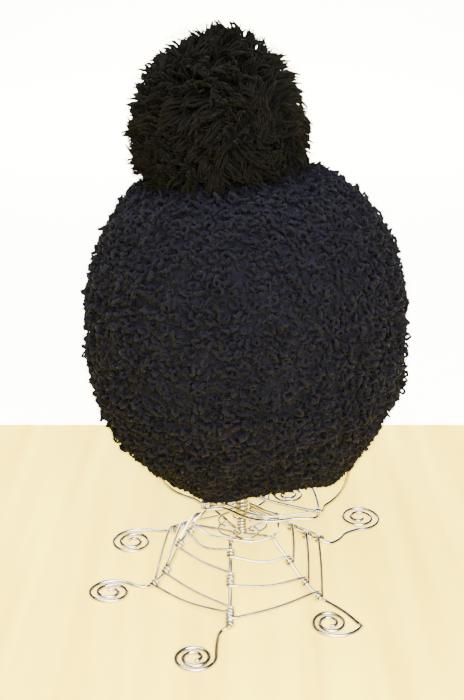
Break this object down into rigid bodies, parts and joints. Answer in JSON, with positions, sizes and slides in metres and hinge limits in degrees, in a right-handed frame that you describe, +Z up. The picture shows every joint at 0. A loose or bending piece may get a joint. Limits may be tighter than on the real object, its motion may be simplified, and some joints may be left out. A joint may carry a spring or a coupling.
{
  "type": "knit cap on a wire hat stand",
  "caption": "Pull-on knitted cap with a large shaggy pompom, held up by a bent wire hat stand with spiral feet and web-like cross wires.",
  "frame": {"origin": "centre of the stand's footprint on the floor, under the middle of the whole object", "axes": "+Z up; the cap's front, as the picture shows it, faces -Y; +X is to the right seen from the front"},
  "size_m": [0.2318, 0.2263, 0.4051],
  "materials": {
    "knit": "boucle knit, matt and fuzzy",
    "pompom_yarn": "shaggy yarn locks with a soft sheen",
    "wire": "bright drawn wire"
  },
  "bodies": {
    "root": {"cap_body": "knit", "pompom": "pompom_yarn", "post": "wire", "hub_ring": "wire", "neck_ring": "wire", "crown_boss": "wire", "rib_1": "wire", "rib_2": "wire", "rib_3": "wire", "rib_4": "wire", "rib_5": "wire", "rib_6": "wire", "web_turn_1": "wire", "web_turn_2": "wire", "web_turn_3": "wire", "leg_1": "wire", "leg_2": "wire", "leg_3": "wire", "leg_4": "wire", "leg_5": "wire", "leg_6": "wire"}
  },
  "joints": []
}
